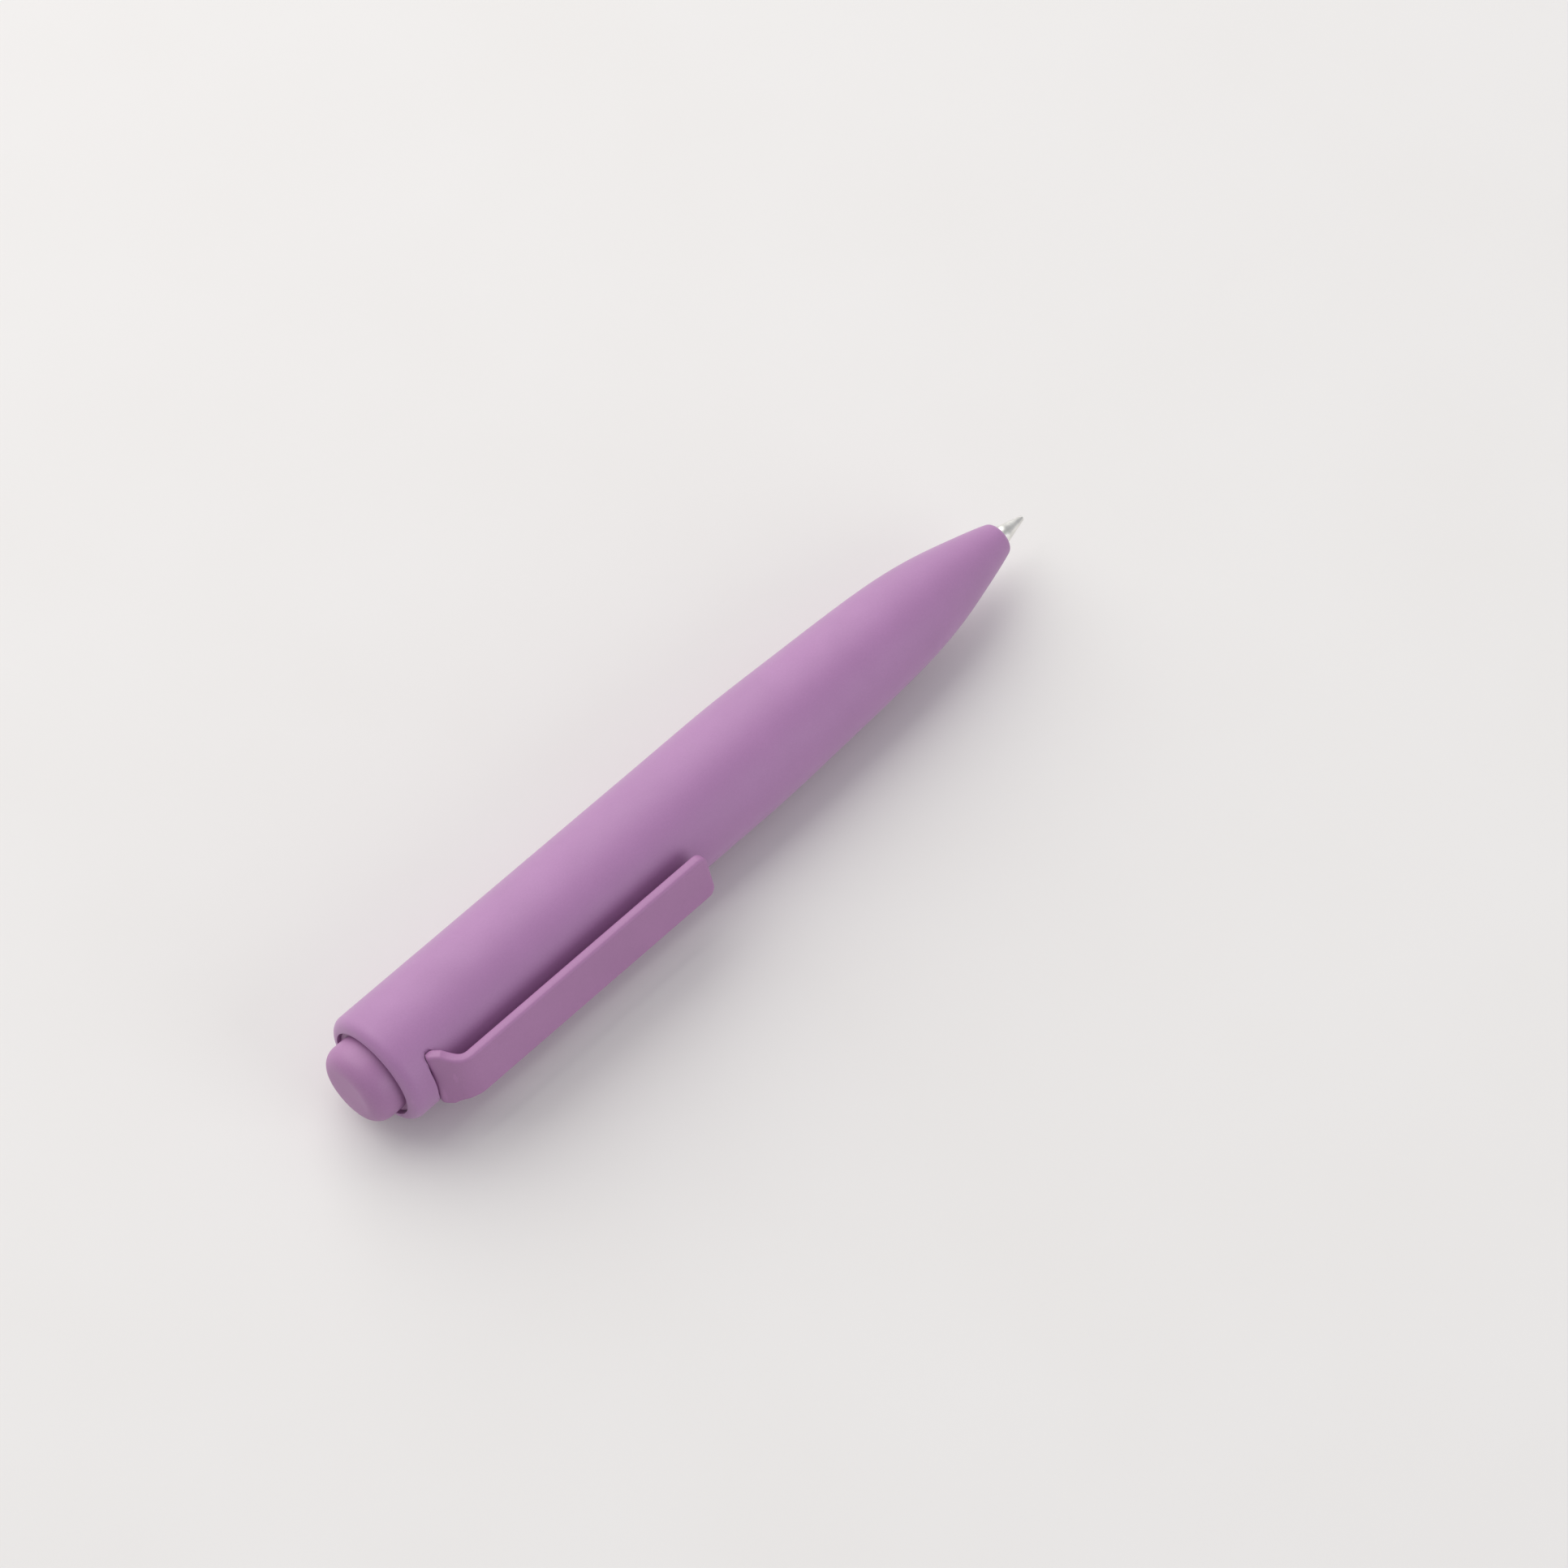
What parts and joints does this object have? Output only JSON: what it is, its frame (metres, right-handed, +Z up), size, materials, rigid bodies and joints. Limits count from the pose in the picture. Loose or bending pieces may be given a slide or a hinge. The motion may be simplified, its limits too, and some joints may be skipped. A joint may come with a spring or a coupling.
{
  "type": "retractable pen",
  "caption": "Stubby retractable click pen with a gel refill, a flat flexing clip and a round push button, lying on its side with the point out.",
  "frame": {"origin": "on the pen's axis, at the middle of the straight stretch of barrel just ahead of the clip, where a pen loop grips", "axes": "+X along the pen towards the writing point, +Z up as the pen lies on a desk, clip on the -Y side"},
  "size_m": [0.1149, 0.0187, 0.0152],
  "materials": {
    "barrel_mauve": "soft-touch matte",
    "clip_mauve": "matte",
    "button_mauve": "matte",
    "white_plastic": "matte",
    "grey_plastic": "matte",
    "clear_plastic": "clear",
    "tip_metal": "turned",
    "ball_metal": "polished",
    "spring_steel": "drawn wire",
    "gel_ink": "gel",
    "follower_grease": "clear grease"
  },
  "bodies": {
    "barrel_body": {"barrel": "barrel_mauve", "nose_bush": "white_plastic", "cam_sleeve": "white_plastic", "lock_ring": "white_plastic", "refill_guide": "white_plastic"},
    "button_body": {"push_button": "button_mauve", "plunger": "white_plastic"},
    "refill_body": {"refill_tube": "clear_plastic", "ink_column": "gel_ink", "follower_grease": "follower_grease", "refill_plug": "white_plastic", "tip_holder": "clear_plastic", "point_cone": "tip_metal", "point_ball": "ball_metal", "ball_spring": "spring_steel", "return_spring": "spring_steel"},
    "rotor_body": {"rotor": "grey_plastic"},
    "clip_body": {"clip": "clip_mauve"}
  },
  "joints": [
    {"name": "button_press", "type": "slide", "parent": "barrel_body", "child": "button_body", "axis": [1, 0, 0], "range_m": [-0.005, 0.0013]},
    {"name": "refill_slide", "type": "slide", "parent": "barrel_body", "child": "refill_body", "axis": [1, 0, 0], "range_m": [-0.005, 0.0013], "deforming": ["return_spring"]},
    {"name": "rotor_turn", "type": "hinge", "parent": "refill_body", "child": "rotor_body", "pos_m": [-0.035, 0, 0], "axis": [1, 0, 0], "range_deg": [-45, 11.71]},
    {"name": "clip_flex", "type": "hinge", "parent": "barrel_body", "child": "clip_body", "pos_m": [-0.05014, -0.00668, 0.00191], "axis": [0, -0.2756, -0.9613], "range_deg": [0, 4], "stiffness_Nm_per_rad": 0.35}
  ],
  "couplings": [
    {"joint": "refill_slide", "follows": "button_press", "ratio": 1},
    {"joint": "rotor_turn", "follows": "button_press", "rad_per_m": 157.08}
  ]
}
